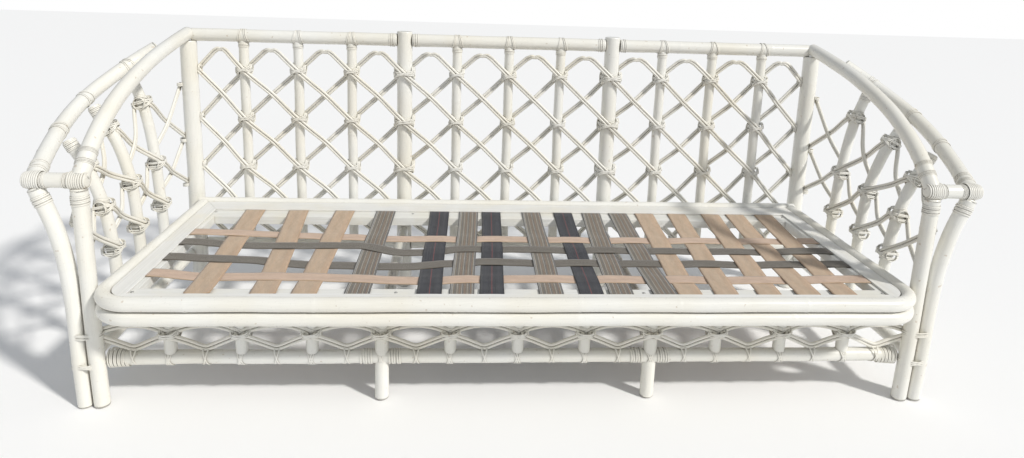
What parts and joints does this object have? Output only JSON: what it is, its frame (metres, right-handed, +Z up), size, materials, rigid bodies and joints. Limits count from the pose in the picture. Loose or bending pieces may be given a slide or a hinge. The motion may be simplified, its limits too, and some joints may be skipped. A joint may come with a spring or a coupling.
{
  "type": "daybed",
  "caption": "Three-sided rattan daybed with flared arms, diagonal cane lattice and a timber seat frame that carries woven webbing.",
  "frame": {"origin": "on the floor, under the middle of the daybed", "axes": "+X along the seat to the right, +Y to the back, +Z up"},
  "size_m": [2.3098, 0.803, 0.846],
  "materials": {
    "painted_rattan": "satin white paint on rattan poles, faint node rings, light wear",
    "thin_cane": "satin white paint on split and round cane, grime in the crossings",
    "peel_lashing": "satin white paint over wound rattan peel, grime between the turns",
    "seat_timber": "thin white paint on planed softwood",
    "trim_board": "brushed white paint on thin board",
    "tan_webbing": "flat woven webbing, tan",
    "striped_webbing": "flat woven webbing, taupe with fine lengthwise stripes",
    "navy_webbing": "flat woven webbing, navy with one thin red line",
    "elastic_webbing": "ribbed elastic webbing, dark taupe",
    "steel": "dull steel"
  },
  "bodies": {
    "root": {"corner_post_left": "painted_rattan", "corner_post_right": "painted_rattan", "back_post_left": "painted_rattan", "back_post_right": "painted_rattan", "top_rail_left": "painted_rattan", "top_rail_middle": "painted_rattan", "top_rail_right": "painted_rattan", "back_bottom_rails": "painted_rattan", "back_uprights": "painted_rattan", "back_canes_front": "thin_cane", "back_canes_rear": "thin_cane", "back_lashings": "peel_lashing", "arm_inner_rail_left": "painted_rattan", "arm_inner_rail_right": "painted_rattan", "arm_outer_rail_left": "painted_rattan", "arm_outer_rail_right": "painted_rattan", "arm_cross_pieces": "painted_rattan", "arm_bindings_left": "peel_lashing", "arm_bindings_right": "peel_lashing", "front_leg_inner_left": "painted_rattan", "front_leg_inner_right": "painted_rattan", "front_leg_outer_left": "painted_rattan", "front_leg_outer_right": "painted_rattan", "front_leg_bindings": "peel_lashing", "front_mid_leg_left": "painted_rattan", "front_mid_leg_right": "painted_rattan", "side_uprights_left": "painted_rattan", "side_uprights_right": "painted_rattan", "side_bottom_rail_left": "painted_rattan", "side_bottom_rail_right": "painted_rattan", "side_canes_left": "thin_cane", "side_canes_right": "thin_cane", "side_lashings_left": "peel_lashing", "side_lashings_right": "peel_lashing", "front_bottom_rail": "painted_rattan", "skirt_top_rail": "seat_timber", "skirt_uprights": "painted_rattan", "skirt_canes": "thin_cane", "skirt_lashings": "peel_lashing", "seat_pole_upper": "painted_rattan", "seat_pole_lower": "painted_rattan", "seat_back_pole_upper": "painted_rattan", "seat_back_pole_lower": "painted_rattan", "cross_stretcher_left": "painted_rattan", "cross_stretcher_right": "painted_rattan", "frame_timber_front": "seat_timber", "frame_timber_back": "seat_timber", "frame_timber_left": "seat_timber", "frame_timber_right": "seat_timber", "trim_board_front": "trim_board", "trim_board_back": "trim_board", "trim_board_left": "trim_board", "trim_board_right": "trim_board", "straps_cross_tan": "tan_webbing", "straps_cross_grey": "striped_webbing", "straps_cross_navy": "navy_webbing", "straps_long_tan": "tan_webbing", "straps_long_grey": "elastic_webbing", "frame_screws": "steel", "staples": "steel"}
  },
  "joints": []
}
